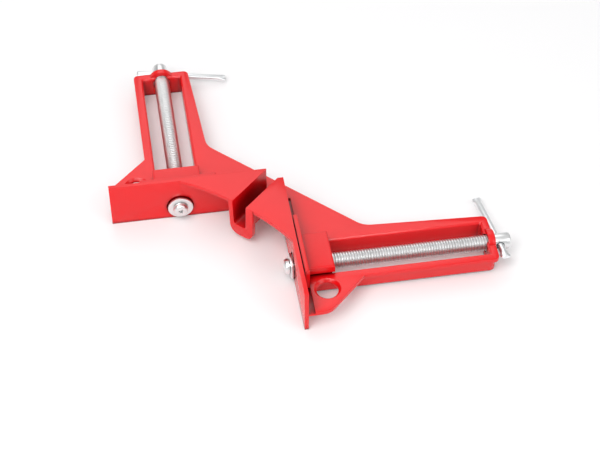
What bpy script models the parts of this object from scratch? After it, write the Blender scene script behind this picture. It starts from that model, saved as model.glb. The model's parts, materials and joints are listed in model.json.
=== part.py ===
"""Ninety degree corner clamp with two screw-driven jaws.

Everything is in metres with +Z up. One half of the clamp is described in its own directions:
u runs outward along the arm, v runs along the fence away from the corner, z is up. The left half
sends u to +Y and v to -X, and the right half sends u to +X and v to -Y, so the two halves are
mirror images in the mitre plane, the upright plane halfway between the fences. Only the saw slot
is not: it lies a little to the left of that plane. The origin is under the middle of the clamp's
outline, on the surface that the clamp stands on.
"""
import math

import bmesh
import bpy
from mathutils import Matrix, Vector

# Clearances between separate pieces
SEAT_GAP = 0.0003
RUNNING_GAP = 0.0004

# Fences, the two fixed upright faces that meet at the corner
FENCE_LENGTH = 0.0992
FENCE_HEIGHT = 0.0291
FENCE_THICKNESS = 0.0024
FENCE_HOLE_MARGIN = 0.0006
FENCE_HOLE_WEB = 0.0009
FENCE_TIP_FROM_CORNER = 0.0064

# Deck, the flat that the frame stock lies on, and its flared corners
DECK_HEIGHT = 0.0133
DECK_THICKNESS = 0.0026
DECK_END_SETBACK = 0.0002
DECK_BACK_SETBACK = 0.0052
DECK_CORNER_RADIUS = 0.0100
DECK_ROOT_RADIUS = 0.0120
FLARE_REACH = 0.0380
GROOVE_WIDTH = 0.0038
GROOVE_DEPTH = 0.0016
GROOVE_START = 0.0085

# Screw-down hole through each flared corner
FLARE_HOLE_RADIUS = 0.0062
FLARE_HOLE_COUNTERSINK = 0.0015
FLARE_HOLE_FROM_FENCE = 0.0133
FLARE_HOLE_FROM_END = 0.0167

# Arms, each a frame round a long window
ARM_LENGTH = 0.1167
WINDOW_WIDTH = 0.0242
WINDOW_CHAMFER = 0.0010
WINDOW_CORNER_RADIUS = 0.0010
OUTER_RAIL_WIDTH = 0.0054
INNER_RAIL_END_WIDTH = 0.0050
INNER_RAIL_ROOT_WIDTH = 0.0090
RAIL_WEB_THICKNESS = 0.0030
RAIL_FLANGE_LIP = 0.0013
RAIL_FOOT_RADIUS = 0.0026
ARM_CORNER_RADIUS = 0.0030
END_WALL_THICKNESS = 0.0045
BOSS_WALL = 0.0028
BOSS_PROUD = 0.0005
BOSS_CHAMFER = 0.0006

# Saw channel along the mitre line, its deeper front lip, and the wings that join it to the fences.
# The slot lies a little to the left of the mitre line, between lips of unequal width.
CHANNEL_REACH = 0.0360
SLOT_WIDTH = 0.0098
SLOT_DRAFT = 0.0006
SLOT_OFFSET = 0.0010
CHANNEL_WALL = 0.0018
CHANNEL_FLOOR_BELOW_DECK = 0.0020
CHANNEL_FLOOR_THICKNESS = 0.0020
CHANNEL_OUTER_RADIUS = 0.0024
CHANNEL_INNER_RADIUS = 0.0020
LIP_WIDTH = 0.0178
LIP_BOTTOM = 0.0036
LIP_THICKNESS = 0.0028
LIP_RADIUS = 0.0055
LIP_DRAFT = 0.0008
WING_FROM_FENCE_END = 0.0417
WING_THICKNESS = 0.0023
WING_HOLLOW = 0.0010
WING_SETBACK = 0.0004

# Spindles: 3/8 inch rod with sixteen threads to the inch
SPINDLE_FROM_FENCE_END = 0.0408
SPINDLE_DIAMETER = 0.009525
THREAD_CLEARANCE = 0.00045
JOURNAL_RADIUS = 0.0034
JOURNAL_LENGTH = 0.0085
HEAD_LENGTH = 0.0098
SPINDLE_CHAMFER = 0.0008

# Cross bars
BAR_RADIUS = 0.0020
BAR_HOLE_RADIUS = 0.0026
BAR_LENGTH = 0.0570
BAR_SHORT_SIDE = 0.0150
BAR_DROOP = math.radians(8.0)
BAR_SKEW = math.radians(3.4)
BAR_END_LENGTH = 0.0045
BAR_END_FLAT = 0.0027
BAR_END_HALF_WIDTH = 0.0028
BAR_END_HALF_THICKNESS = 0.0014
BAR_TO_BOSS_GAP = 0.0010

# Washer and pan head screw on the inner end of each spindle
WASHER_RADIUS = 0.0074
WASHER_THICKNESS = 0.0014
SCREW_RADIUS = 0.0024
SCREW_LENGTH = 0.0120
SCREW_HEAD_RADIUS = 0.0046
SCREW_HEAD_HEIGHT = 0.0033
SCREW_CROWN_TURNS = (20, 40, 60, 78)
SCREW_CROWN_FULLNESS = 0.6

# Jaws
JAW_PLATE_LENGTH = 0.0450
JAW_PLATE_THICKNESS = 0.0027
JAW_PLATE_HEIGHT = 0.0141
JAW_PLATE_CORNER = 0.0010
JAW_BLOCK_WIDTH = 0.0280
JAW_BLOCK_DEPTH = 0.0185
JAW_BLOCK_RISE = 0.0067
JAW_BLOCK_LIFT = 0.0018
JAW_BLOCK_ROUND = 0.0012
JAW_NOSE_WALL = 0.0028
JAW_NECK_FLOOR = 0.0016
JAW_FRONT_GAP = 0.0009

# Facets on a full turn
ROUND_STEPS = 32
ARC_STEPS = 4
JAW_ROUND_STEPS = 3
OVERLAP = 0.0005

# Sizes that follow from the ones above
ROOT2 = math.sqrt(2.0)
SPINDLE_OFFSET = FENCE_LENGTH - SPINDLE_FROM_FENCE_END
WING_START = FENCE_LENGTH - WING_FROM_FENCE_END
SPINDLE_RADIUS = SPINDLE_DIAMETER / 2
FENCE_HOLE_RADIUS = WASHER_RADIUS + FENCE_HOLE_MARGIN
SPINDLE_HEIGHT = FENCE_HOLE_RADIUS + FENCE_HOLE_WEB
DECK_UNDERSIDE = DECK_HEIGHT - DECK_THICKNESS
DECK_END = FENCE_LENGTH - DECK_END_SETBACK
WINDOW_INNER = SPINDLE_OFFSET - WINDOW_WIDTH / 2
WINDOW_OUTER = SPINDLE_OFFSET + WINDOW_WIDTH / 2
WINDOW_END = ARM_LENGTH - END_WALL_THICKNESS
RAIL_OUTER = WINDOW_OUTER + OUTER_RAIL_WIDTH
RAIL_INNER_END = WINDOW_INNER - INNER_RAIL_END_WIDTH
RAIL_INNER_ROOT = WINDOW_INNER - INNER_RAIL_ROOT_WIDTH
RAIL_INNER_ROOT_REACH = RAIL_INNER_ROOT + DECK_BACK_SETBACK * ROOT2
FLARE_HOLE_U = FENCE_THICKNESS + FLARE_HOLE_FROM_FENCE
FLARE_HOLE_V = FENCE_LENGTH - FLARE_HOLE_FROM_END
THREAD_HOLE_RADIUS = SPINDLE_RADIUS + THREAD_CLEARANCE
BOSS_RADIUS = THREAD_HOLE_RADIUS + BOSS_WALL
BOSS_START = WINDOW_END + WINDOW_CHAMFER
BOSS_END = ARM_LENGTH + BOSS_PROUD
SLOT_HALF = SLOT_WIDTH / 2
CHANNEL_HALF = SLOT_HALF + CHANNEL_WALL
CHANNEL_FLOOR_HEIGHT = DECK_HEIGHT - CHANNEL_FLOOR_BELOW_DECK
CHANNEL_BOTTOM = CHANNEL_FLOOR_HEIGHT - CHANNEL_FLOOR_THICKNESS
LIP_HALF = LIP_WIDTH / 2
WING_UNDERSIDE = FENCE_HEIGHT - WING_THICKNESS

JAW_FACE = FENCE_THICKNESS + JAW_FRONT_GAP
JAW_PLATE_BACK = JAW_FACE + JAW_PLATE_THICKNESS
JAW_PLATE_FOOT = DECK_HEIGHT + SEAT_GAP
JAW_BACK = JAW_FACE + JAW_BLOCK_DEPTH
JAW_BLOCK_TOP = DECK_HEIGHT + JAW_BLOCK_RISE
JAW_BLOCK_UNDERSIDE = DECK_HEIGHT + JAW_BLOCK_LIFT
JOURNAL_BORE_RADIUS = JOURNAL_RADIUS + RUNNING_GAP
SPINDLE_BORE_RADIUS = SPINDLE_RADIUS + RUNNING_GAP
JAW_NOSE_RADIUS = JOURNAL_BORE_RADIUS + JAW_NOSE_WALL
JAW_NECK_BOTTOM = SPINDLE_HEIGHT - SPINDLE_BORE_RADIUS - JAW_NECK_FLOOR

SPINDLE_TIP = -SEAT_GAP
JAW_NOSE_TIP = SPINDLE_TIP + RUNNING_GAP
SHOULDER = SPINDLE_TIP + JOURNAL_LENGTH
BAR_U = BOSS_END + BAR_TO_BOSS_GAP + BAR_RADIUS
HEAD_END = BOSS_END + HEAD_LENGTH
WASHER_BACK = SPINDLE_TIP - SEAT_GAP
WASHER_FACE = WASHER_BACK - WASHER_THICKNESS
HEAD_BACK = WASHER_FACE - SEAT_GAP
SCREW_HOLE_RADIUS = SCREW_RADIUS + SEAT_GAP
SCREW_TIP = HEAD_BACK + SCREW_LENGTH

ORIGIN_SHIFT = (HEAD_END - FENCE_LENGTH) / 2
SIDE_MATRICES = {
    "left": Matrix(((0, -1, 0), (1, 0, 0), (0, 0, 1))).to_4x4(),
    "right": Matrix(((1, 0, 0), (0, -1, 0), (0, 0, 1))).to_4x4(),
}
CORNER = Matrix.Translation((-ORIGIN_SHIFT, -ORIGIN_SHIFT, 0))


def clear_scene():
    """Take every object out of the scene."""
    for thing in list(bpy.data.objects):
        bpy.data.objects.remove(thing, do_unlink=True)


def material(name, colour, roughness, metallic):
    """A Principled material of one colour."""
    made = bpy.data.materials.new(name)
    made.use_nodes = True
    shader = made.node_tree.nodes["Principled BSDF"]
    shader.inputs["Base Color"].default_value = (*colour, 1)
    shader.inputs["Roughness"].default_value = roughness
    shader.inputs["Metallic"].default_value = metallic
    return made


def arc(centre, radius, start, end, steps=ARC_STEPS):
    """Points on a round corner, from one angle to another in degrees."""
    turns = [math.radians(start + (end - start) * i / steps) for i in range(steps + 1)]
    return [(centre[0] + radius * math.cos(t), centre[1] + radius * math.sin(t)) for t in turns]


def fillet(before, corner, after, radius, steps=ARC_STEPS):
    """Points that round off one corner of an outline."""
    to_before = (Vector(before) - Vector(corner)).normalized()
    to_after = (Vector(after) - Vector(corner)).normalized()
    half = to_before.angle(to_after) / 2
    centre = Vector(corner) + (to_before + to_after).normalized() * radius / math.sin(half)
    reach = radius / math.tan(half)
    first = (Vector(corner) + to_before * reach - centre).normalized()
    last = (Vector(corner) + to_after * reach - centre).normalized()
    return [tuple(centre + first.slerp(last, i / steps) * radius) for i in range(steps + 1)]


def rounded_rectangle(low, high, radius):
    """The outline of a rectangle with round corners, from its low and high corners."""
    (a, b), (c, d), r = low, high, radius
    centres = [((c - r, d - r), 0), ((a + r, d - r), 90), ((a + r, b + r), 180), ((c - r, b + r), 270)]
    return [p for centre, start in centres for p in arc(centre, r, start, start + 90)]


def loft(rings):
    """A closed solid through rings of points, each ring with as many points as the others."""
    mesh = bmesh.new()
    verts = [[mesh.verts.new(p) for p in ring] for ring in rings]
    count = len(rings[0])
    for low, high in zip(verts, verts[1:]):
        for i in range(count):
            j = (i + 1) % count
            mesh.faces.new((low[i], low[j], high[j], high[i]))
    mesh.faces.new(list(reversed(verts[0])))
    mesh.faces.new(verts[-1])
    bmesh.ops.recalc_face_normals(mesh, faces=mesh.faces)
    return mesh


def prism(outline, low, high):
    """An outline in u and v, made solid from one height to another."""
    return loft([[(u, v, z) for u, v in outline] for z in (low, high)])


def box(low, high):
    """A box between two corners."""
    outline = [(low[0], low[1]), (high[0], low[1]), (high[0], high[1]), (low[0], high[1])]
    return prism(outline, low[2], high[2])


def turned(profile, steps=ROUND_STEPS):
    """A solid of revolution about the u direction, from (u, radius) points, with flat ends."""
    turns = [math.tau * i / steps for i in range(steps)]
    return loft([[(u, radius * math.cos(t), radius * math.sin(t)) for t in turns]
                 for u, radius in profile])


def cylinder(u_low, u_high, radius, steps=ROUND_STEPS):
    """A plain cylinder along u."""
    return turned([(u_low, radius), (u_high, radius)], steps)


def moved(mesh, matrix):
    """The same mesh, moved by a matrix and still facing out."""
    bmesh.ops.transform(mesh, matrix=matrix, verts=mesh.verts)
    if matrix.determinant() < 0:
        bmesh.ops.reverse_faces(mesh, faces=mesh.faces)
    return mesh


def on_spindle_axis(mesh):
    """A mesh made about the u axis, moved to the spindle's height and offset."""
    return moved(mesh, Matrix.Translation((0, SPINDLE_OFFSET, SPINDLE_HEIGHT)))


def bevel_edges(mesh, wanted, width, segments):
    """Round the edges for which wanted(middle, direction) is true."""
    chosen = []
    for edge in mesh.edges:
        a, b = (vert.co for vert in edge.verts)
        if wanted((a + b) / 2, (b - a).normalized()):
            chosen.append(edge)
    bmesh.ops.bevel(mesh, geom=chosen, offset=width, segments=segments, profile=0.5,
                    affect="EDGES", clamp_overlap=True)
    return mesh


def new_object(name, mesh):
    """A linked object with its own mesh."""
    data = bpy.data.meshes.new(name)
    mesh.to_mesh(data)
    mesh.free()
    made = bpy.data.objects.new(name, data)
    bpy.context.scene.collection.objects.link(made)
    return made


def combined(mesh, others, operation):
    """The first mesh joined with the others, or cut by them."""
    base = new_object("base", mesh)
    helpers = [new_object("helper", other) for other in others]
    for helper in helpers:
        step = base.modifiers.new("step", "BOOLEAN")
        step.solver = "EXACT"
        step.operation = operation
        step.object = helper
    bpy.context.view_layer.update()
    result = bmesh.new()
    result.from_object(base, bpy.context.evaluated_depsgraph_get())
    for thing in [base, *helpers]:
        bpy.data.objects.remove(thing, do_unlink=True)
    return result


def finished(name, mesh, origin, skin):
    """Make the named sub-part, with its origin at the given point and smooth round faces."""
    moved(mesh, Matrix.Translation(-Vector(origin)))
    made = new_object(name, mesh)
    made.location = origin
    made.data.materials.append(skin)
    made.data.shade_smooth()
    made.data.set_sharp_from_angle(angle=math.radians(30))
    return made


def mitre_to_half(along, across):
    """u and v of a point at a distance before the corner on the mitre line and beside that line."""
    return (across - along) / ROOT2, (across + along) / ROOT2


def on_both_sides(make):
    """The two mirror-image meshes that one maker gives, placed on the left and right halves."""
    return [moved(make(), CORNER @ SIDE_MATRICES[side]) for side in SIDE_MATRICES]


def half_deck_outline():
    """Deck and arm flange of one half, from the corner out along the fence and back to the mitre."""
    inside_fence = FENCE_THICKNESS / 2
    flare_top = FLARE_REACH + RAIL_OUTER - DECK_END
    end_near = (inside_fence, DECK_END)
    end_far = (flare_top, DECK_END)
    flare_foot = (FLARE_REACH, RAIL_OUTER)
    arm_outer = (ARM_LENGTH, RAIL_OUTER)
    arm_inner = (ARM_LENGTH, RAIL_INNER_END)
    arm_root = (RAIL_INNER_ROOT_REACH, RAIL_INNER_ROOT)
    back = (DECK_BACK_SETBACK / ROOT2, -DECK_BACK_SETBACK / ROOT2)
    outline = [end_near]
    outline += fillet(end_near, end_far, flare_foot, DECK_CORNER_RADIUS)
    outline += [flare_foot]
    outline += fillet(flare_foot, arm_outer, arm_inner, ARM_CORNER_RADIUS)
    outline += fillet(arm_outer, arm_inner, arm_root, ARM_CORNER_RADIUS)
    outline += fillet(arm_inner, arm_root, back, DECK_ROOT_RADIUS)
    outline += [back]
    return outline


def deck():
    """The whole deck with both arm flanges, as one plate."""
    left = [SIDE_MATRICES["left"] @ Vector((u, v, 0)) for u, v in half_deck_outline()]
    right = [SIDE_MATRICES["right"] @ Vector((u, v, 0)) for u, v in half_deck_outline()]
    corner = (FENCE_THICKNESS / 2, FENCE_THICKNESS / 2)
    outline = [corner] + [tuple(p.xy) for p in left] + [tuple(p.xy) for p in reversed(right[:-1])]
    return moved(prism(outline, DECK_UNDERSIDE, DECK_HEIGHT), CORNER)


def fence():
    """One upright fence, drawn through the corner so that the saw slot trims it above the deck."""
    return box((0, -FENCE_THICKNESS, 0), (FENCE_THICKNESS, FENCE_LENGTH, FENCE_HEIGHT))


def wing():
    """The flat triangle that ties the top of the fence to the saw channel."""
    start = Vector((0, WING_START))
    tip = Vector(mitre_to_half(CHANNEL_REACH - WING_SETBACK, LIP_HALF - WING_SETBACK))
    bow = (start + tip) / 2 + Vector((WING_HOLLOW, -WING_HOLLOW)) * ROOT2
    outline = []
    for i in range(ARC_STEPS + 1):
        t = i / ARC_STEPS
        outline.append(tuple(start * (1 - t) ** 2 + bow * 2 * t * (1 - t) + tip * t ** 2))
    outline.append(mitre_to_half(CHANNEL_REACH - WING_SETBACK, SLOT_HALF))
    outline.append(mitre_to_half(SLOT_HALF, SLOT_HALF))
    outline += [(FENCE_THICKNESS / 2, SLOT_HALF * ROOT2), (FENCE_THICKNESS / 2, WING_START)]
    return prism(outline, WING_UNDERSIDE, FENCE_HEIGHT)


def channel_profile(half, bottom, radius, draft, top):
    """A U section as (across, z) points: straight flaring sides and a round-cornered floor."""
    foot = half - draft
    corner = arc((foot - radius, bottom + radius), radius, 270, 360)
    right = [(half, top), *reversed(corner)]
    left = [(-x, z) for x, z in reversed(right)]
    return right + left


def mitre_extrusion(profile, start, end):
    """A section across the mitre line, drawn out along that line."""
    rings = []
    for along in (start, end):
        ring = []
        for across, z in profile:
            x, y = (-along - across) / ROOT2, (-along + across) / ROOT2
            ring.append((x, y, z))
        rings.append(ring)
    return moved(loft(rings), CORNER)


def saw_channel():
    """The solid trough under the wings, before the slot is cut."""
    profile = channel_profile(CHANNEL_HALF, CHANNEL_BOTTOM, CHANNEL_OUTER_RADIUS, SLOT_DRAFT,
                              FENCE_HEIGHT)
    shifted = [(across + SLOT_OFFSET, z) for across, z in profile]
    return mitre_extrusion(shifted, CHANNEL_REACH - LIP_THICKNESS / 2, -2 * FENCE_THICKNESS)


def front_lip():
    """The deeper and wider lip that frames the front of the saw channel."""
    profile = channel_profile(LIP_HALF, LIP_BOTTOM, LIP_RADIUS, LIP_DRAFT, FENCE_HEIGHT)
    return mitre_extrusion(profile, CHANNEL_REACH, CHANNEL_REACH - LIP_THICKNESS)


def saw_slot():
    """The cutter for the saw's path: down the channel, then over the deck past the fences' ends."""
    top = FENCE_HEIGHT + OVERLAP
    side = [(CHANNEL_REACH + OVERLAP, CHANNEL_FLOOR_HEIGHT), (0, CHANNEL_FLOOR_HEIGHT),
            (0, DECK_HEIGHT), (-SLOT_WIDTH, DECK_HEIGHT), (-SLOT_WIDTH, top),
            (CHANNEL_REACH + OVERLAP, top)]
    mesh = loft([[(along, across, z) for along, z in side] for across in (-SLOT_HALF, SLOT_HALF)])
    for vert in mesh.verts:
        depth = (top - vert.co.z) / (top - CHANNEL_FLOOR_HEIGHT)
        vert.co.y *= 1 - depth * SLOT_DRAFT / SLOT_HALF
    floor = CHANNEL_FLOOR_HEIGHT + OVERLAP
    bevel_edges(mesh, lambda m, d: m.z < floor and abs(d.x) > 0.9, CHANNEL_INNER_RADIUS, ARC_STEPS)
    turn = Matrix.Rotation(math.radians(-135), 4, "Z")
    return moved(mesh, CORNER @ turn @ Matrix.Translation((0, -SLOT_OFFSET, 0)))


def behind_fence():
    """The cutter that trims the channel flush with the back of the fence, above the deck."""
    return box((FENCE_THICKNESS, -LIP_WIDTH, DECK_HEIGHT), (LIP_WIDTH, LIP_WIDTH, FENCE_HEIGHT + OVERLAP))


def fence_tip():
    """The cutter that squares off the sharp tip of one fence beside the slot, above the deck."""
    reach = 2 * FENCE_THICKNESS
    return box((-FENCE_THICKNESS, -reach, DECK_HEIGHT),
               (reach, FENCE_TIP_FROM_CORNER, FENCE_HEIGHT + OVERLAP))


def arm_web():
    """The upright wall round the window, under the flange, with a rounded foot."""
    end = ARM_LENGTH - RAIL_FLANGE_LIP
    low = (FENCE_THICKNESS / 2, WINDOW_INNER - RAIL_WEB_THICKNESS)
    high = (end, WINDOW_OUTER + RAIL_WEB_THICKNESS)
    mesh = box((*low, 0), (*high, DECK_HEIGHT - DECK_THICKNESS / 2))
    bevel_edges(mesh, lambda m, d: m.x > end - OVERLAP and abs(d.z) > 0.9, ARM_CORNER_RADIUS, ARC_STEPS)
    return bevel_edges(mesh, lambda m, d: m.z < OVERLAP and m.x > low[0] + OVERLAP,
                       RAIL_FOOT_RADIUS, ARC_STEPS)


def boss():
    """The round boss in the arm's end wall that carries the thread."""
    return on_spindle_axis(turned([
        (BOSS_START, BOSS_RADIUS), (BOSS_END - BOSS_CHAMFER, BOSS_RADIUS),
        (BOSS_END, BOSS_RADIUS - BOSS_CHAMFER)]))


def window():
    """The cutter for the arm's window, chamfered at the top on the three sides away from the fence."""
    levels = [(-OVERLAP, 0), (DECK_HEIGHT - WINDOW_CHAMFER, 0),
              (DECK_HEIGHT + OVERLAP, WINDOW_CHAMFER + OVERLAP)]
    rings = []
    for z, grow in levels:
        low = (FENCE_THICKNESS, WINDOW_INNER - grow)
        high = (WINDOW_END + grow, WINDOW_OUTER + grow)
        rings.append([(u, v, z) for u, v in rounded_rectangle(low, high, WINDOW_CORNER_RADIUS)])
    return loft(rings)


def thread_hole():
    """The cutter for the tapped hole in the boss."""
    return on_spindle_axis(cylinder(WINDOW_END - OVERLAP, BOSS_END + OVERLAP, THREAD_HOLE_RADIUS))


def fence_hole():
    """The cutter for the round opening that lets the washer through the fence."""
    return on_spindle_axis(cylinder(-OVERLAP, FENCE_THICKNESS + OVERLAP, FENCE_HOLE_RADIUS))


def flare_hole():
    """The cutter for the countersunk hole in the flared corner."""
    mesh = turned([(DECK_UNDERSIDE - OVERLAP, FLARE_HOLE_RADIUS),
                   (DECK_HEIGHT - FLARE_HOLE_COUNTERSINK, FLARE_HOLE_RADIUS),
                   (DECK_HEIGHT + OVERLAP, FLARE_HOLE_RADIUS + FLARE_HOLE_COUNTERSINK + OVERLAP)])
    upright = Matrix.Rotation(math.radians(-90), 4, "Y")
    return moved(mesh, Matrix.Translation((FLARE_HOLE_U, FLARE_HOLE_V, 0)) @ upright)


def groove():
    """The cutter for the shallow groove along the foot of the fence."""
    return box((FENCE_THICKNESS, GROOVE_START, DECK_HEIGHT - GROOVE_DEPTH),
               (FENCE_THICKNESS + GROOVE_WIDTH, DECK_END + OVERLAP, DECK_HEIGHT + OVERLAP))


def build_frame(skin):
    """The fixed casting: fences, saw channel, deck and arms in one piece."""
    channel = combined(saw_channel(), on_both_sides(behind_fence), "DIFFERENCE")
    solids = [channel, front_lip()]
    for make in (fence, wing, arm_web):
        solids += on_both_sides(make)
    body = combined(deck(), solids, "UNION")
    cutters = [saw_slot()]
    for make in (fence_tip, window, groove, fence_hole, flare_hole):
        cutters += on_both_sides(make)
    body = combined(body, cutters, "DIFFERENCE")
    body = combined(body, on_both_sides(boss), "UNION")
    body = combined(body, on_both_sides(thread_hole), "DIFFERENCE")
    return finished("frame_casting", body, (0, 0, 0), skin)


def jaw_plate():
    """The upright pressure plate, with rounded upper corners."""
    half = JAW_PLATE_LENGTH / 2
    mesh = box((JAW_FACE, SPINDLE_OFFSET - half, JAW_PLATE_FOOT),
               (JAW_PLATE_BACK, SPINDLE_OFFSET + half, JAW_PLATE_FOOT + JAW_PLATE_HEIGHT))
    top = JAW_PLATE_FOOT + JAW_PLATE_HEIGHT - OVERLAP
    return bevel_edges(mesh, lambda m, d: m.z > top and m.x > JAW_FACE + OVERLAP,
                       JAW_PLATE_CORNER, JAW_ROUND_STEPS)


def jaw_block():
    """The block behind the plate, which bridges the window just above both rails."""
    half = JAW_BLOCK_WIDTH / 2
    mesh = box((JAW_PLATE_BACK - OVERLAP, SPINDLE_OFFSET - half, JAW_BLOCK_UNDERSIDE),
               (JAW_BACK, SPINDLE_OFFSET + half, JAW_BLOCK_TOP))
    top = JAW_BLOCK_TOP - OVERLAP
    return bevel_edges(mesh, lambda m, d: m.z > top and m.x > JAW_PLATE_BACK,
                       JAW_BLOCK_ROUND, JAW_ROUND_STEPS)


def jaw_neck():
    """The part of the jaw that runs in the window and takes the spindle."""
    half = WINDOW_WIDTH / 2 - RUNNING_GAP
    inset = JAW_BLOCK_ROUND
    return box((JAW_FACE, SPINDLE_OFFSET - half, JAW_NECK_BOTTOM),
               (JAW_BACK - inset, SPINDLE_OFFSET + half, JAW_BLOCK_UNDERSIDE + OVERLAP))


def jaw_nose():
    """The round nose that carries the end of the spindle through the fence's hole."""
    return on_spindle_axis(cylinder(JAW_NOSE_TIP, JAW_FACE + OVERLAP, JAW_NOSE_RADIUS))


def jaw_bore():
    """The cutter for the stepped bore: a journal at the front and the spindle's full size behind."""
    step = SHOULDER - RUNNING_GAP
    return on_spindle_axis(turned([
        (JAW_NOSE_TIP - OVERLAP, JOURNAL_BORE_RADIUS), (step, JOURNAL_BORE_RADIUS),
        (step, SPINDLE_BORE_RADIUS), (JAW_BACK + OVERLAP, SPINDLE_BORE_RADIUS)]))


def jaw():
    """One moving jaw in the directions of its half."""
    solid = combined(jaw_plate(), [jaw_block(), jaw_neck(), jaw_nose()], "UNION")
    return combined(solid, [jaw_bore()], "DIFFERENCE")


def bar_frame():
    """Places the cross bar's own axis: through the spindle head, drooping and a little askew."""
    droop = Matrix.Rotation(BAR_DROOP, 4, "X")
    skew = Matrix.Rotation(-BAR_SKEW, 4, "Z")
    return Matrix.Translation((BAR_U, SPINDLE_OFFSET, SPINDLE_HEIGHT)) @ droop @ skew


def bar_hole():
    """The cutter for the cross hole in the spindle's head, square to the spindle."""
    mesh = moved(cylinder(-SPINDLE_DIAMETER, SPINDLE_DIAMETER, BAR_HOLE_RADIUS),
                 Matrix.Rotation(math.radians(90), 4, "Z"))
    droop = Matrix.Rotation(BAR_DROOP, 4, "X")
    return moved(mesh, Matrix.Translation((BAR_U, SPINDLE_OFFSET, SPINDLE_HEIGHT)) @ droop)


def spindle():
    """One spindle: journal, shoulder, threaded length and plain drilled head."""
    profile = [(SCREW_TIP + SEAT_GAP, SCREW_HOLE_RADIUS), (SPINDLE_TIP, SCREW_HOLE_RADIUS),
               (SPINDLE_TIP, JOURNAL_RADIUS), (SHOULDER, JOURNAL_RADIUS), (SHOULDER, SPINDLE_RADIUS),
               (HEAD_END - SPINDLE_CHAMFER, SPINDLE_RADIUS),
               (HEAD_END, SPINDLE_RADIUS - SPINDLE_CHAMFER)]
    return combined(on_spindle_axis(turned(profile)), [bar_hole()], "DIFFERENCE")


def washer():
    """The plain washer that holds the jaw on the spindle."""
    body = on_spindle_axis(cylinder(WASHER_FACE, WASHER_BACK, WASHER_RADIUS))
    hole = on_spindle_axis(cylinder(WASHER_FACE - OVERLAP, WASHER_BACK + OVERLAP, SCREW_HOLE_RADIUS))
    return combined(body, [hole], "DIFFERENCE")


def end_screw():
    """The pan head screw in the spindle's end."""
    crown = [(HEAD_BACK - SCREW_HEAD_HEIGHT * math.sin(math.radians(turn)),
              SCREW_HEAD_RADIUS * math.cos(math.radians(turn)) ** SCREW_CROWN_FULLNESS)
             for turn in SCREW_CROWN_TURNS]
    profile = [(SCREW_TIP, SCREW_RADIUS), (HEAD_BACK, SCREW_RADIUS),
               (HEAD_BACK, SCREW_HEAD_RADIUS)] + crown
    return on_spindle_axis(turned(profile))


def tommy_bar():
    """The loose cross bar, round with both ends peened flat so that it can't fall out."""
    short_end, long_end = BAR_SHORT_SIDE, BAR_SHORT_SIDE - BAR_LENGTH
    stations = [(long_end, BAR_END_HALF_WIDTH, BAR_END_HALF_THICKNESS),
                (long_end + BAR_END_FLAT, BAR_END_HALF_WIDTH, BAR_END_HALF_THICKNESS),
                (long_end + BAR_END_LENGTH, BAR_RADIUS, BAR_RADIUS),
                (short_end - BAR_END_LENGTH, BAR_RADIUS, BAR_RADIUS),
                (short_end - BAR_END_FLAT, BAR_END_HALF_WIDTH, BAR_END_HALF_THICKNESS),
                (short_end, BAR_END_HALF_WIDTH, BAR_END_HALF_THICKNESS)]
    steps = ROUND_STEPS // 2
    rings = []
    for v, wide, thick in stations:
        turns = [math.tau * i / steps for i in range(steps)]
        rings.append([(wide * math.cos(t), v, thick * math.sin(t)) for t in turns])
    return moved(loft(rings), bar_frame())


def build_moving_pieces(skins):
    """Jaw, spindle, washer, screw and cross bar of each half."""
    makers = {
        "jaw": (jaw, (0, SPINDLE_OFFSET, SPINDLE_HEIGHT), "enamel"),
        "spindle": (spindle, (0, SPINDLE_OFFSET, SPINDLE_HEIGHT), "zinc"),
        "washer": (washer, (0, SPINDLE_OFFSET, SPINDLE_HEIGHT), "zinc"),
        "end_screw": (end_screw, (0, SPINDLE_OFFSET, SPINDLE_HEIGHT), "zinc"),
        "tommy_bar": (tommy_bar, (BAR_U, SPINDLE_OFFSET, SPINDLE_HEIGHT), "bar_steel"),
    }
    for side, turn in SIDE_MATRICES.items():
        for name, (make, origin, skin) in makers.items():
            place = CORNER @ turn
            finished(f"{side}_{name}", moved(make(), place), place @ Vector(origin), skins[skin])


def main():
    """Build the whole clamp."""
    clear_scene()
    skins = {
        "enamel": material("enamel", (0.78, 0.035, 0.045), 0.28, 0.0),
        "zinc": material("zinc", (0.72, 0.74, 0.76), 0.3, 1.0),
        "bar_steel": material("bar_steel", (0.66, 0.68, 0.70), 0.35, 1.0),
    }
    build_frame(skins["enamel"])
    build_moving_pieces(skins)


main()
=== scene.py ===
"""Studio picture of a right-angle corner clamp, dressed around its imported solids.

The casting and the jaws keep the solids' shape with rounded, enamelled edges. The spindles get
their real thread, and the washers, screws and cross bars are modelled as the small steel parts
that they are. Everything is in metres in the frame of the solids.
"""
import json
import logging
import math
from dataclasses import dataclass, field
from enum import Enum
from typing import Callable, Optional, Sequence, Union

import bpy
from mathutils import Matrix, Vector


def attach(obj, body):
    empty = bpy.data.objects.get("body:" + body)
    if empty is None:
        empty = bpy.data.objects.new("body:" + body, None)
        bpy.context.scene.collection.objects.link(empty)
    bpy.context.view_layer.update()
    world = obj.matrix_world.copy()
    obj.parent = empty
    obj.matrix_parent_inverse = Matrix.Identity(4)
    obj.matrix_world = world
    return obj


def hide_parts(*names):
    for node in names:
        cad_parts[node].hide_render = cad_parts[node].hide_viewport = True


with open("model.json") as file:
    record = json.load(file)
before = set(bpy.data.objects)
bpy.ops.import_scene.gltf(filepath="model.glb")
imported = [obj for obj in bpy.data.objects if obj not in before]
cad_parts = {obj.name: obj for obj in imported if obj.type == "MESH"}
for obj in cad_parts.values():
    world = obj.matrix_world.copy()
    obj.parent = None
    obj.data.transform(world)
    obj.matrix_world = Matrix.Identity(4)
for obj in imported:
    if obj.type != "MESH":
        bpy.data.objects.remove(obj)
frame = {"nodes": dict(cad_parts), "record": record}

LOG = logging.getLogger("corner_clamp")
MERGE = 0.00001  # points nearer to each other than this are one
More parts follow.
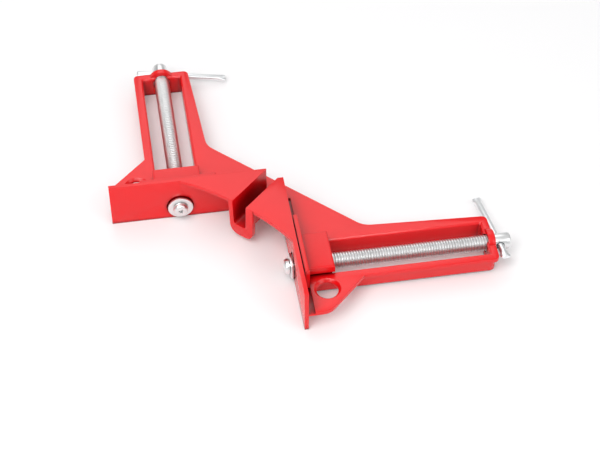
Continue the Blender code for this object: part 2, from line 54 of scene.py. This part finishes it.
THREAD_DEPTH = "thread_depth"  # the attribute that says how deep a point lies in the thread
WHITE = (1.0, 1.0, 1.0, 1.0)
NOISE_MIDDLE = 0.5
FACING = 0.9  # a face whose normal follows an axis by more than this cosine faces that way
JAW_EDGE_RADIUS = 0.0004

Value = Union["Signal", float]


class Side(Enum):
    """The two halves of the clamp."""

    LEFT = "left"
    RIGHT = "right"


class Signal:
    """A socket of the node tree that takes part in Python arithmetic."""

    def __init__(self, tree: bpy.types.NodeTree, socket: bpy.types.NodeSocket) -> None:
        """Wrap one output socket.

        Args:
            tree: The node tree that the socket belongs to.
            socket: The output that carries the value.
        """
        self.tree = tree
        self.socket = socket

    def _math(self, operation: str, first: Value, second: Value) -> "Signal":
        """Add one Math node.

        Args:
            operation: Blender's name for the operation.
            first: The first operand.
            second: The second operand.

        Returns:
            The node's output.
        """
        node = self.tree.nodes.new("ShaderNodeMath")
        node.operation = operation
        for slot, value in enumerate((first, second)):
            if isinstance(value, Signal):
                self.tree.links.new(value.socket, node.inputs[slot])
            else:
                node.inputs[slot].default_value = value
        return Signal(self.tree, node.outputs[0])

    def __add__(self, other: Value) -> "Signal":
        """Sum."""
        return self._math("ADD", self, other)

    def __radd__(self, other: Value) -> "Signal":
        """Sum, with the number first."""
        return self._math("ADD", other, self)

    def __sub__(self, other: Value) -> "Signal":
        """Difference."""
        return self._math("SUBTRACT", self, other)

    def __rsub__(self, other: Value) -> "Signal":
        """Difference, with the number first."""
        return self._math("SUBTRACT", other, self)

    def __mul__(self, other: Value) -> "Signal":
        """Product."""
        return self._math("MULTIPLY", self, other)

    def __rmul__(self, other: Value) -> "Signal":
        """Product, with the number first."""
        return self._math("MULTIPLY", other, self)


class Recipe:
    """The node tree of one material or of the world."""

    def __init__(self, owner: Union[bpy.types.Material, bpy.types.World]) -> None:
        """Start a tree with only its output node.

        Args:
            owner: The material or world that the tree belongs to.
        """
        self.owner = owner
        owner.use_nodes = True
        self.tree = owner.node_tree
        self.tree.nodes.clear()
        kind = "World" if isinstance(owner, bpy.types.World) else "Material"
        self.output = self.tree.nodes.new("ShaderNodeOutput" + kind)

    def node(self, kind: str, settings: Optional[dict] = None, out: Union[int, str] = 0,
             **inputs: object) -> Signal:
        """Add one node.

        Args:
            kind: The node's type without its ShaderNode prefix.
            settings: Properties that are set before the sockets, and under "stops" a ramp's
                stops as (position, colour) pairs.
            out: The output that is wanted, by index or name.
            **inputs: A number, colour or signal for each socket, with _ for a space in its name
                and i0, i1 and so on for a socket by index.

        Returns:
            The wanted output.
        """
        node = self.tree.nodes.new("ShaderNode" + kind)
        for key, value in (settings or {}).items():
            if key == "stops":
                self._set_stops(node, value)
            else:
                setattr(node, key, value)
        for key, value in inputs.items():
            by_index = key[0] == "i" and key[1:].isdigit()
            socket = node.inputs[int(key[1:]) if by_index else key.replace("_", " ")]
            if isinstance(value, Signal):
                self.tree.links.new(value.socket, socket)
            else:
                socket.default_value = value
        return Signal(self.tree, node.outputs[out])

    @staticmethod
    def _set_stops(node: bpy.types.Node, stops: Sequence[tuple]) -> None:
        """Give a ramp its stops.

        Args:
            node: The ramp.
            stops: Pairs of a position and a colour, by rising position.
        """
        ramp = node.color_ramp
        while len(ramp.elements) < len(stops):
            ramp.elements.new(0.5)
        for element, (position, colour) in zip(ramp.elements, stops):
            element.position = position
            element.color = (*colour, 1.0)

    def surface(self, shader: Signal) -> Union[bpy.types.Material, bpy.types.World]:
        """Join a shader to the output.

        Args:
            shader: The finished shader.

        Returns:
            The material or world.
        """
        self.tree.links.new(shader.socket, self.output.inputs["Surface"])
        return self.owner

    def noise(self, scale: float, detail: float) -> Signal:
        """A smooth random value from 0 to 1 that holds still on its piece.

        Args:
            scale: Features per metre.
            detail: Octaves of finer features.

        Returns:
            The value.
        """
        place = self.node("TexCoord", out="Object")
        return self.node("TexNoise", Vector=place, Scale=scale, Detail=detail)

    def mix(self, factor: Signal, first: Union[Signal, tuple],
            second: Union[Signal, tuple]) -> Signal:
        """Blend two colours.

        Args:
            factor: 0 for the first, 1 for the second.
            first: The first colour.
            second: The second colour.

        Returns:
            The blended colour.
        """
        return self.node("Mix", {"data_type": "RGBA"}, out=2, i0=factor, i6=first, i7=second)

    def openness(self, reach: float, limits: tuple, only_local: bool, samples: int = 8) -> Signal:
        """How free a point lies, by the share of short rays that meet nothing.

        Args:
            reach: The rays' length.
            limits: The shares that count as fully shut in and as fully free.
            only_local: True if only the piece itself is in the way.
            samples: The number of rays.

        Returns:
            0 where the point is shut in, 1 where it is free.
        """
        share = self.node("AmbientOcclusion", {"samples": samples, "only_local": only_local},
                          out="AO", Distance=reach)
        shut_in, free = limits
        return self.node("MapRange", Value=share, From_Min=shut_in, From_Max=free)


@dataclass(frozen=True)
class Enamel:
    """Thick glossy stoved enamel over a die casting, with painted shade in recesses, along joints
    and at the floor.
    """

    name: str = "red_enamel"
    light: tuple = (0.79, 0.005, 0.008)
    deep: tuple = (0.74, 0.004, 0.006)
    # Painted shade: the dark red that the enamel is blended towards in recesses, along joints and at
    # the floor.
    painted_shade: tuple = (0.22, 0.001, 0.002)
    cloud_scale: float = 28.0
    cloud_detail: float = 3.0
    cloud_limits: tuple = (0.3, 0.7)
    recess_shade_reach: float = 0.016
    recess_shade_limits: tuple = (0.38, 0.82)
    # Painted shade within a few millimetres of another part or of the floor: dark lines where parts
    # meet and a contact shadow at the floor.
    contact_shade_reach: float = 0.003
    contact_shade_limits: tuple = (0.45, 0.92)
    roughness: float = 0.22
    roughness_spread: float = 0.10
    peel_scale: float = 420.0
    peel_detail: float = 1.5
    peel_depth: float = 0.00010
    peel_strength: float = 0.22
    grit_scale: float = 2600.0
    grit_detail: float = 2.0
    grit_share: float = 0.10

    def make(self) -> bpy.types.Material:
        """Build the material.

        Returns:
            The material.
        """
        recipe = Recipe(bpy.data.materials.new(self.name))
        clouds = recipe.noise(self.cloud_scale, self.cloud_detail)
        peel = recipe.noise(self.peel_scale, self.peel_detail)
        grit = recipe.noise(self.grit_scale, self.grit_detail)
        stops = list(zip(self.cloud_limits, (self.deep, self.light)))
        coat = recipe.node("ValToRGB", {"stops": stops}, Fac=clouds)
        # Painted shade in recesses, where the piece itself closes round a point.
        recess_openness = recipe.openness(self.recess_shade_reach, self.recess_shade_limits, only_local=True)
        # Painted shade near other parts and the floor.
        clear = recipe.openness(self.contact_shade_reach, self.contact_shade_limits, only_local=False)
        # Painted shade: recesses and contacts blend the enamel towards the dark red painted shade
        # colour.
        tone = recipe.mix(recess_openness * clear, (*self.painted_shade, 1.0), coat)
        normal = recipe.node("Bump", Height=peel + grit * self.grit_share,
                             Strength=self.peel_strength, Distance=self.peel_depth)
        roughness = self.roughness + (peel - NOISE_MIDDLE) * self.roughness_spread
        return recipe.surface(recipe.node("BsdfPrincipled", Base_Color=tone, Roughness=roughness,
                                          Normal=normal))


@dataclass(frozen=True)
class Plating:
    """Bright plated steel with fine marks, darkened in the thread's valleys by grime and painted
    shade.
    """

    name: str = "zinc_plate"
    light: tuple = (0.88, 0.88, 0.88)
    dull: tuple = (0.76, 0.77, 0.77)
    tone_limits: tuple = (0.25, 0.65)
    detail: float = 3.0
    cloud_scale: float = 120.0
    cloud_share: float = 0.6
    mark_scale: float = 900.0
    mark_depth: float = 0.00005
    mark_strength: float = 0.15
    # Grime and painted shade: the colour that the thread's valleys are blended towards.
    valley_grime_and_shade: tuple = (0.40, 0.39, 0.40)
    valley_grime_and_shade_cover: float = 0.25
    grime_roughness: float = 0.2
    roughness: float = 0.33
    roughness_spread: float = 0.16

    def make(self) -> bpy.types.Material:
        """Build the material.

        Returns:
            The material.
        """
        recipe = Recipe(bpy.data.materials.new(self.name))
        clouds = recipe.noise(self.cloud_scale, self.detail)
        marks = recipe.noise(self.mark_scale, self.detail)
        stops = list(zip(self.tone_limits, (self.dull, self.light)))
        plate = recipe.node("ValToRGB", {"stops": stops},
                            Fac=clouds * self.cloud_share + marks * (1.0 - self.cloud_share))
        valley = recipe.node("Attribute", {"attribute_name": THREAD_DEPTH}, out="Fac")
        # Grime and painted shade, deeper towards the thread's root.
        tone = recipe.mix(valley * self.valley_grime_and_shade_cover, plate, (*self.valley_grime_and_shade, 1.0))
        roughness = (self.roughness + (marks - NOISE_MIDDLE) * self.roughness_spread
                     + valley * self.grime_roughness)
        normal = recipe.node("Bump", Height=marks, Strength=self.mark_strength,
                             Distance=self.mark_depth)
        return recipe.surface(recipe.node("BsdfPrincipled", Base_Color=tone, Metallic=1.0,
                                          Roughness=roughness, Normal=normal))


@dataclass(frozen=True)
class Paper:
    """The white sweep under the clamp, kept bright for the camera and in reflections."""

    name: str = "white_sweep"
    colour: tuple = (0.92, 0.915, 0.92)
    lift: float = 0.09

    def make(self) -> bpy.types.Material:
        """Build the material.

        Returns:
            The material.
        """
        recipe = Recipe(bpy.data.materials.new(self.name))
        camera = recipe.node("LightPath", out="Is Camera Ray")
        glossy = recipe.node("LightPath", out="Is Glossy Ray")
        through = recipe.node("LightPath", out="Is Transmission Ray")
        diffuse = recipe.node("BsdfDiffuse", Color=(*self.colour, 1.0))
        glow = recipe.node("Emission", Color=WHITE, Strength=1.0)
        share = (camera + glossy + through) * self.lift
        return recipe.surface(recipe.node("MixShader", i0=share, i1=diffuse, i2=glow))


@dataclass(frozen=True)
class Sky:
    """A grey sky, brightest low down, so that metal has something to show. The camera sees white."""

    name: str = "sky"
    # The sine of the height over the horizon, and the brightness there.
    levels: tuple = ((0.08, 0.20), (0.15, 1.00), (0.30, 0.72), (0.38, 0.12), (0.55, 0.30),
                     (0.90, 0.72))

    def make(self) -> bpy.types.World:
        """Build the world.

        Returns:
            The world.
        """
        recipe = Recipe(bpy.data.worlds.new(self.name))
        direction = recipe.node("TexCoord", out="Generated")
        height = recipe.node("SeparateXYZ", out="Z", Vector=direction)
        stops = [(place, (level, level, level)) for place, level in self.levels]
        grey = recipe.node("ValToRGB", {"stops": stops}, Fac=height)
        camera = recipe.node("LightPath", out="Is Camera Ray")
        return recipe.surface(recipe.node("Background", Color=recipe.mix(camera, grey, WHITE)))


class Bench:
    """Modelling and dressing steps that more than one piece uses."""

    seed_size = 0.001
    lathe_steps = 64
    smooth_angle = 32.0

    @staticmethod
    def clear() -> None:
        """Leave edit mode and deselect everything."""
        if bpy.context.mode != "OBJECT":
            bpy.ops.object.mode_set(mode="OBJECT")
        bpy.ops.object.select_all(action="DESELECT")

    @classmethod
    def take(cls, piece: bpy.types.Object) -> None:
        """Select one object alone and make it active.

        Args:
            piece: The object.
        """
        cls.clear()
        piece.select_set(True)
        bpy.context.view_layer.objects.active = piece

    @classmethod
    def edit(cls, piece: bpy.types.Object, action: str) -> None:
        """Enter edit mode on one object.

        Args:
            piece: The object.
            action: SELECT for everything selected, DESELECT for nothing.
        """
        cls.take(piece)
        bpy.ops.object.mode_set(mode="EDIT")
        bpy.ops.mesh.select_all(action=action)

    @classmethod
    def pick_faces(cls, piece: bpy.types.Object, wanted: Callable) -> None:
        """Enter edit mode with some faces selected.

        Args:
            piece: The object.
            wanted: The test that a face has to pass.
        """
        cls.edit(piece, "DESELECT")
        bpy.ops.mesh.select_mode(type="FACE")
        bpy.ops.object.mode_set(mode="OBJECT")
        for face in piece.data.polygons:
            face.select = wanted(face)
        bpy.ops.object.mode_set(mode="EDIT")

    @classmethod
    def apply(cls, piece: bpy.types.Object, kind: str, **settings: object) -> None:
        """Add one modifier and apply it.

        Args:
            piece: The object.
            kind: The modifier's type.
            **settings: The modifier's properties.
        """
        cls.take(piece)
        modifier = piece.modifiers.new("step", kind)
        for key, value in settings.items():
            setattr(modifier, key, value)
        bpy.ops.object.modifier_apply(modifier=modifier.name)

    @classmethod
    def bevel(cls, piece: bpy.types.Object, width: float, segments: int = 2,
              angle: float = 35.0) -> None:
        """Round every edge that is sharper than an angle.

        Args:
            piece: The object.
            width: The rounding's width.
            segments: Faces across the rounding.
            angle: The least angle in degrees.
        """
        cls.apply(piece, "BEVEL", width=width, segments=segments, limit_method="ANGLE",
                  angle_limit=math.radians(angle), use_clamp_overlap=True)

    @classmethod
    def cut(cls, piece: bpy.types.Object, tool: bpy.types.Object) -> None:
        """Cut one piece with another, which is then removed.

        Args:
            piece: The piece that is kept.
            tool: The cutter.
        """
        cls.apply(piece, "BOOLEAN", operation="DIFFERENCE", solver="EXACT", object=tool)
        bpy.data.objects.remove(tool, do_unlink=True)

    @classmethod
    def join(cls, name: str, pieces: Sequence[bpy.types.Object]) -> bpy.types.Object:
        """Join pieces into one object.

        Args:
            name: The new object's name.
            pieces: The pieces, of which the first is kept.

        Returns:
            The joined object.
        """
        whole = pieces[0]
        cls.take(whole)
        for piece in pieces[1:]:
            piece.select_set(True)
        bpy.ops.object.join()
        whole.name = name
        whole.data.name = name
        return whole

    @classmethod
    def cylinder(cls, name: str, radius: float, length: float, middle: float,
                 facets: int, tilt: float = 0.0) -> bpy.types.Object:
        """Add a cylinder on the Z axis.

        Args:
            name: The object's name.
            radius: Its radius.
            length: Its length.
            middle: The height of its middle.
            facets: Facets on a full turn.
            tilt: Its turn about Y in degrees.

        Returns:
            The cylinder, with its place in its mesh.
        """
        cls.clear()
        bpy.ops.mesh.primitive_cylinder_add(
            vertices=facets, radius=radius, depth=length, location=(0, 0, middle),
            rotation=(0, math.radians(tilt), 0))
        piece = bpy.context.object
        piece.name = name
        bpy.ops.object.transform_apply(location=True, rotation=True, scale=True)
        return piece

    @classmethod
    def chain(cls, name: str, points: Sequence[tuple]) -> bpy.types.Object:
        """Draw a chain of edges through points, from a small plane merged into the first one.

        Args:
            name: The object's name.
            points: The points, in order.

        Returns:
            An object with the edges only.
        """
        cls.clear()
        bpy.ops.mesh.primitive_plane_add(size=cls.seed_size, location=points[0])
        piece = bpy.context.object
        piece.name = name
        bpy.ops.object.transform_apply(location=True, rotation=True, scale=True)
        bpy.ops.object.mode_set(mode="EDIT")
        bpy.ops.mesh.select_mode(type="VERT")
        bpy.ops.mesh.select_all(action="SELECT")
        bpy.ops.mesh.merge(type="CENTER")
        for here, there in zip(points, points[1:]):
            step = tuple(Vector(there) - Vector(here))
            bpy.ops.mesh.extrude_region_move(TRANSFORM_OT_translate={"value": step})
        bpy.ops.object.mode_set(mode="OBJECT")
        return piece

    @classmethod
    def lathe(cls, name: str, profile: Sequence[tuple]) -> bpy.types.Object:
        """Turn a profile round the Z axis into a closed solid.

        Args:
            name: The object's name.
            profile: Points as (radius, z), from the first end to the last.

        Returns:
            The turned piece.
        """
        piece = cls.chain(name, [(radius, 0.0, z) for radius, z in profile])
        cls.apply(piece, "SCREW", axis="Z", angle=math.tau, steps=cls.lathe_steps,
                  render_steps=cls.lathe_steps, screw_offset=0.0, use_merge_vertices=True,
                  merge_threshold=MERGE)
        cls.merge(piece)
        cls.face_out(piece)
        return piece

    @classmethod
    def merge(cls, piece: bpy.types.Object) -> None:
        """Merge doubled points, and stay in edit mode with everything selected.

        Args:
            piece: The object.
        """
        cls.edit(piece, "SELECT")
        bpy.ops.mesh.remove_doubles(threshold=MERGE)

    @classmethod
    def face_out(cls, piece: bpy.types.Object) -> None:
        """Point every face outwards and leave edit mode.

        Args:
            piece: The object.
        """
        cls.edit(piece, "SELECT")
        bpy.ops.mesh.normals_make_consistent(inside=False)
        bpy.ops.object.mode_set(mode="OBJECT")

    @classmethod
    def settle(cls, piece: bpy.types.Object, matrix: Matrix) -> None:
        """Move a piece from the origin to its place and put the place into its mesh.

        Args:
            piece: The object, unturned at the origin.
            matrix: Its place in the clamp.
        """
        cls.take(piece)
        piece.matrix_world = matrix
        bpy.ops.object.transform_apply(location=True, rotation=True, scale=True)

    @classmethod
    def finish(cls, piece: bpy.types.Object, material: bpy.types.Material, body: str, slot: str,
               node: str) -> None:
        """Dress a piece, hang it on the body that carries it and hide the solid that it stands for.

        Args:
            piece: The piece.
            material: Its finish.
            body: The body that it moves with.
            slot: The record's material slot; not used.
            node: The solid that it replaces.
        """
        piece.data.materials.clear()
        piece.data.materials.append(material)
        cls.take(piece)
        bpy.ops.object.shade_smooth_by_angle(angle=math.radians(cls.smooth_angle))
        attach(piece, body)
        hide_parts(node)
        LOG.info("%s: %d faces", piece.name, len(piece.data.polygons))


@dataclass
class CastPart:
    """A cast and enamelled part, with its edges rounded as paint rounds them."""

    node: str
    body: str
    material: bpy.types.Material
    edge_radius: float = 0.0007
    edge_segments: int = 3
    flat_angle: float = 0.5  # degrees: facets that turn less than this are one face

    def build(self) -> None:
        """Copy the solid's surface, round its edges and enamel it."""
        source = frame["nodes"][self.node]
        piece = bpy.data.objects.new(f"{self.node}_enamelled", source.data.copy())
        bpy.context.scene.collection.objects.link(piece)
        Bench.merge(piece)
        bpy.ops.mesh.dissolve_limited(angle_limit=math.radians(self.flat_angle))
        bpy.ops.object.mode_set(mode="OBJECT")
        Bench.bevel(piece, self.edge_radius, self.edge_segments)
        Bench.finish(piece, self.material, self.body, "enamel", self.node)


@dataclass
class SpindleSet:
    """One spindle with its washer, its end screw and its cross bar.

    Lengths along the spindle run outwards from the outer face of the fence, which is where the
    hinge of the record has its point.
    """

    side: Side
    plating: bpy.types.Material
    bright_steel: bpy.types.Material

    pitch: float = 0.0015875
    crest_radius: float = 0.00476
    thread_depth: float = 0.00095
    # One turn of the thread, as shares of the pitch and of the depth.
    thread_shape: tuple = ((0.0, 0.0), (0.08, 0.0), (0.34, 0.90), (0.39, 1.0), (0.69, 1.0),
                           (0.74, 0.90), (1.0, 0.0))
    thread_steps: int = 36
    spare_turns: int = 3
    shoulder: float = 0.0082
    thread_end: float = 0.1167

    tip: float = -0.0003
    journal_radius: float = 0.0034
    journal_root: float = 0.0010  # how far the journal's end cone reaches into the thread
    screw_hole_radius: float = 0.0027
    screw_hole_spare: float = 0.0003

    head_end: float = 0.1270
    head_chamfer: float = 0.0008
    head_edge: float = 0.0003
    head_edge_angle: float = 40.0
    bar_station: float = 0.1202
    bar_hole_radius: float = 0.0026
    bar_hole_facets: int = 40
    drill_length: float = 0.02

    washer_back: float = -0.0006
    washer_radius: float = 0.0074
    washer_thickness: float = 0.0014
    washer_edge: float = 0.00022
    washer_facets: int = 64

    screw_back: float = -0.0023
    screw_tip: float = 0.0097
    screw_radius: float = 0.0024
    screw_head_radius: float = 0.0046
    screw_head_height: float = 0.0033
    screw_head_edge: float = 0.0002
    dome_angles: tuple = (24, 36, 48, 60, 70, 80)
    dome_power: float = 0.35  # below 1, so that the pan head is flat with a round shoulder
    recess_length: float = 0.0052
    recess_width: float = 0.0014
    recess_depth: float = 0.0018
    recess_taper: float = 0.35
    recess_turn: float = 20.0

    bar_radius: float = 0.0020
    bar_facets: int = 32
    bar_short_side: float = 0.0150
    bar_length: float = 0.0570
    peen_length: float = 0.0045
    peen_flat: float = 0.0027
    peen_half_width: float = 0.0028
    peen_half_thickness: float = 0.0014
    peen_edge: float = 0.0006
    peen_edge_scale: tuple = (0.86, 0.72, 1.0)

    hinge: Vector = field(init=False)
    outward: Vector = field(init=False)
    along_bar: Vector = field(init=False)

    def __post_init__(self) -> None:
        """Read the spindle's axis and the bar's axis from the record."""
        joints = {joint["name"]: joint for joint in frame["record"]["behaviour"]["joints"]}
        turn = joints[f"{self.side.value}_spindle_turn"]
        slide = joints[f"{self.side.value}_tommy_bar_slide"]
        self.hinge = Vector(turn["pos_m"])
        self.outward = Vector(turn["axis"]).normalized()
        self.along_bar = Vector(slide["axis"]).normalized()

    @staticmethod
    def place(axis: Vector, towards: Vector, origin: Vector) -> Matrix:
        """A place whose Z follows an axis and whose X leans towards a direction.

        Args:
            axis: The direction of the piece's own Z.
            towards: The direction that the piece's own X is nearest to.
            origin: The piece's own origin.

        Returns:
            The place, without mirroring.
        """
        y_axis = axis.cross(towards).normalized()
        x_axis = y_axis.cross(axis)
        turned = Matrix((x_axis, y_axis, axis)).transposed().to_4x4()
        return Matrix.Translation(origin) @ turned

    def build(self) -> None:
        """Build the four steel parts."""
        name = self.side.value
        on_axis = self.place(self.outward, self.along_bar, self.hinge)
        for node, piece in (("spindle", self.spindle()), ("washer", self.washer()),
                            ("end_screw", self.end_screw())):
            Bench.settle(piece, on_axis)
            Bench.finish(piece, self.plating, f"{name}_spindle", "zinc", f"{name}_{node}")
        bar = self.tommy_bar()
        bar_centre = self.hinge + self.outward * self.bar_station
        Bench.settle(bar, self.place(self.along_bar, self.outward, bar_centre))
        Bench.finish(bar, self.bright_steel, f"{name}_tommy_bar", "bar_steel", f"{name}_tommy_bar")

    def thread(self) -> bpy.types.Object:
        """The rolled thread, from the shoulder to the head.

        Returns:
            A closed helical rod.
        """
        root = self.crest_radius - self.thread_depth
        start = self.shoulder - self.pitch
        profile = [(root + self.thread_depth * rise, 0.0, start + self.pitch * share)
                   for share, rise in self.thread_shape]
        length = self.thread_end - self.shoulder
        turns = math.ceil(length / self.pitch) + self.spare_turns
        rod = Bench.chain(f"{self.side.value}_thread", profile)
        Bench.apply(rod, "SCREW", axis="Z", angle=math.tau, steps=self.thread_steps,
                    render_steps=self.thread_steps, screw_offset=self.pitch, iterations=turns,
                    use_merge_vertices=False)
        Bench.merge(rod)
        for height, sign in ((self.shoulder, 1), (self.thread_end, -1)):
            bpy.ops.mesh.select_all(action="SELECT")
            bpy.ops.mesh.bisect(plane_co=(0, 0, height), plane_no=(0, 0, sign), use_fill=True,
                                clear_inner=True, threshold=MERGE / 10)
        Bench.face_out(rod)
        return rod

    def spindle(self) -> bpy.types.Object:
        """The thread between its journal and its drilled head.

        Returns:
            The spindle, along its own Z.
        """
        hole, hole_end = self.screw_hole_radius, self.screw_tip + self.screw_hole_spare
        journal = Bench.lathe("journal", [
            (0.0, hole_end), (hole, hole_end), (hole, self.tip), (self.journal_radius, self.tip),
            (self.journal_radius, self.shoulder), (0.0, self.shoulder + self.journal_root)])
        rim = self.crest_radius - self.head_chamfer
        head = Bench.lathe("head", [
            (0.0, self.thread_end), (rim, self.thread_end),
            (self.crest_radius, self.thread_end + self.head_chamfer / 2),
            (self.crest_radius, self.head_end - self.head_chamfer), (rim, self.head_end),
            (0.0, self.head_end)])
        drill = Bench.cylinder("drill", self.bar_hole_radius, self.drill_length, self.bar_station,
                               self.bar_hole_facets, tilt=90.0)
        Bench.cut(head, drill)
        Bench.bevel(head, self.head_edge, angle=self.head_edge_angle)
        rod = Bench.join(f"{self.side.value}_spindle_threaded", [self.thread(), journal, head])
        self.mark_depth(rod)
        return rod

    def mark_depth(self, rod: bpy.types.Object) -> None:
        """Store how deep each point lies in the thread, for the grime and painted shade in its
        valleys.

        Args:
            rod: The spindle, along its own Z.
        """
        depths = []
        for vert in rod.data.vertices:
            radius = math.hypot(vert.co.x, vert.co.y)
            depth = (self.crest_radius - radius) / self.thread_depth
            threaded = self.shoulder < vert.co.z < self.thread_end
            depths.append(min(max(depth, 0.0), 1.0) if threaded else 0.0)
        marks = rod.data.attributes.new(THREAD_DEPTH, "FLOAT", "POINT")
        marks.data.foreach_set("value", depths)

    def washer(self) -> bpy.types.Object:
        """The plain washer, a disc inset and bridged through.

        Returns:
            The washer, in its place on the spindle's own Z.
        """
        disc = Bench.cylinder(f"{self.side.value}_washer_plated", self.washer_radius,
                              self.washer_thickness, self.washer_back - self.washer_thickness / 2,
                              self.washer_facets)
        Bench.pick_faces(disc, lambda face: abs(face.normal.z) > FACING)
        bpy.ops.mesh.inset(thickness=self.washer_radius - self.screw_hole_radius)
        bpy.ops.mesh.bridge_edge_loops()
        Bench.face_out(disc)
        Bench.bevel(disc, self.washer_edge)
        return disc

    def end_screw(self) -> bpy.types.Object:
        """The pan head screw with its cross recess.

        Returns:
            The screw, in its place on the spindle's own Z.
        """
        radius, back, edge = self.screw_head_radius, self.screw_back, self.screw_head_edge
        face = back - self.screw_head_height
        shank = [(0.0, self.screw_tip), (self.screw_radius, self.screw_tip),
                 (self.screw_radius, back)]
        rim = [(radius - edge, back), (radius, back - edge)]
        dome = [(radius * math.cos(angle) ** self.dome_power,
                 back - self.screw_head_height * math.sin(angle))
                for angle in map(math.radians, self.dome_angles)]
        screw = Bench.lathe(f"{self.side.value}_screw_pan_head",
                            shank + rim + dome + [(0.0, face)])
        for quarter in (0, 90):
            Bench.cut(screw, self.recess_blade(face, quarter + self.recess_turn))
        return screw

    def recess_blade(self, face: float, turn: float) -> bpy.types.Object:
        """The cutter for one slot of the cross recess, narrower at its bottom.

        Args:
            face: The height of the screw head's face.
            turn: The slot's direction in degrees.

        Returns:
            The cutter.
        """
        Bench.clear()
        bpy.ops.mesh.primitive_cube_add(size=1.0, location=(0, 0, face),
                                        rotation=(0, 0, math.radians(turn)))
        blade = bpy.context.object
        blade.scale = (self.recess_length, self.recess_width, 2 * self.recess_depth)
        bpy.ops.object.transform_apply(location=True, rotation=True, scale=True)
        Bench.pick_faces(blade, lambda side: side.normal.z > FACING)
        bpy.ops.transform.resize(value=(self.recess_taper, self.recess_taper, 1.0),
                                 center_override=(0, 0, face + self.recess_depth))
        bpy.ops.object.mode_set(mode="OBJECT")
        return blade

    def tommy_bar(self) -> bpy.types.Object:
        """The cross bar, drawn from round rod and peened flat at both ends.

        Returns:
            The bar, along its own Z, with its flats facing its own Y.
        """
        low = self.bar_short_side - self.bar_length + self.peen_length
        high = self.bar_short_side - self.peen_length
        bar = Bench.cylinder(f"{self.side.value}_tommy_bar_peened", self.bar_radius, high - low,
                             (low + high) / 2, self.bar_facets)
        squeeze = (self.peen_half_width / self.bar_radius,
                   self.peen_half_thickness / self.bar_radius, 1.0)
        steps = ((self.peen_length - self.peen_flat, squeeze),
                 (self.peen_flat - self.peen_edge, (1.0, 1.0, 1.0)),
                 (self.peen_edge, self.peen_edge_scale))
        for sign, end in ((1, high), (-1, low)):
            Bench.pick_faces(bar, lambda face: face.normal.z * sign > FACING)
            for length, scale in steps:
                bpy.ops.mesh.extrude_region_move(
                    TRANSFORM_OT_translate={"value": (0, 0, sign * length)})
                end += sign * length
                bpy.ops.transform.resize(value=scale, center_override=(0, 0, end))
            bpy.ops.object.mode_set(mode="OBJECT")
        return bar


@dataclass(frozen=True)
class Lamp:
    """A soft square lamp that faces the clamp."""

    name: str
    place: tuple
    size: float
    power: float

    def hang(self) -> None:
        """Put the lamp in the scene."""
        data = bpy.data.lights.new(self.name, "AREA")
        data.shape = "SQUARE"
        data.size = self.size
        data.energy = self.power
        lamp = bpy.data.objects.new(self.name, data)
        bpy.context.scene.collection.objects.link(lamp)
        lamp.location = self.place
        lamp.rotation_euler = (-Vector(self.place)).to_track_quat("-Z", "Y").to_euler()


@dataclass(frozen=True)
class Studio:
    """The white sweep, the sky, the lamps and the camera."""

    floor_size: float = 8.0
    floor_gap: float = 0.0002
    lamps: tuple = (
        Lamp("front_left", (-0.753, -0.753, 0.756), 0.7, 3.4),
        Lamp("front_right", (0.753, -0.753, 0.756), 0.7, 3.0),
        Lamp("overhead", (-0.487, -0.487, 1.122), 0.7, 5.6),
        Lamp("edge", (-0.06, -0.66, 0.84), 0.2, 0.9),
        Lamp("back", (0.0, 0.90, 0.95), 0.9, 3.2),
    )
    camera_place: tuple = (-0.10584, -0.66681, 0.66134)
    camera_down: float = 45.827
    camera_right: float = 9.166
    lens: float = 93.29
    sensor: float = 36.0
    nearest: float = 0.01

    def build(self) -> None:
        """Set up everything round the clamp."""
        self.floor()
        bpy.context.scene.world = Sky().make()
        for lamp in self.lamps:
            lamp.hang()
        self.camera()
        bpy.context.scene.view_settings.view_transform = "Standard"

    def floor(self) -> None:
        """The sweep under the clamp."""
        Bench.clear()
        bpy.ops.mesh.primitive_plane_add(size=self.floor_size, location=(0, 0, -self.floor_gap))
        sweep = bpy.context.object
        sweep.name = "sweep"
        bpy.ops.object.transform_apply(location=True, rotation=True, scale=True)
        sweep.data.materials.append(Paper().make())

    def camera(self) -> None:
        """Stand the camera where the photograph was taken from."""
        data = bpy.data.cameras.new("view")
        data.sensor_width = self.sensor
        data.lens = self.lens
        data.clip_start = self.nearest
        camera = bpy.data.objects.new("view", data)
        bpy.context.scene.collection.objects.link(camera)
        camera.location = self.camera_place
        camera.rotation_euler = (math.radians(90 - self.camera_down), 0.0,
                                 math.radians(-self.camera_right))
        bpy.context.scene.camera = camera


def main() -> None:
    """Build the scene."""
    logging.basicConfig(level=logging.INFO, format="%(message)s")
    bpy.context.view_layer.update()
    enamel = Enamel().make()
    plating = Plating().make()
    bright_steel = Plating(name="drawn_steel", light=(0.90, 0.91, 0.92), dull=(0.80, 0.82, 0.83),
                           roughness=0.38).make()
    CastPart("frame_casting", "frame", enamel).build()
    for side in Side:
        jaw = f"{side.value}_jaw"
        CastPart(jaw, jaw, enamel, edge_radius=JAW_EDGE_RADIUS).build()
        SpindleSet(side, plating, bright_steel).build()
    Studio().build()


if __name__ == "__main__":
    main()
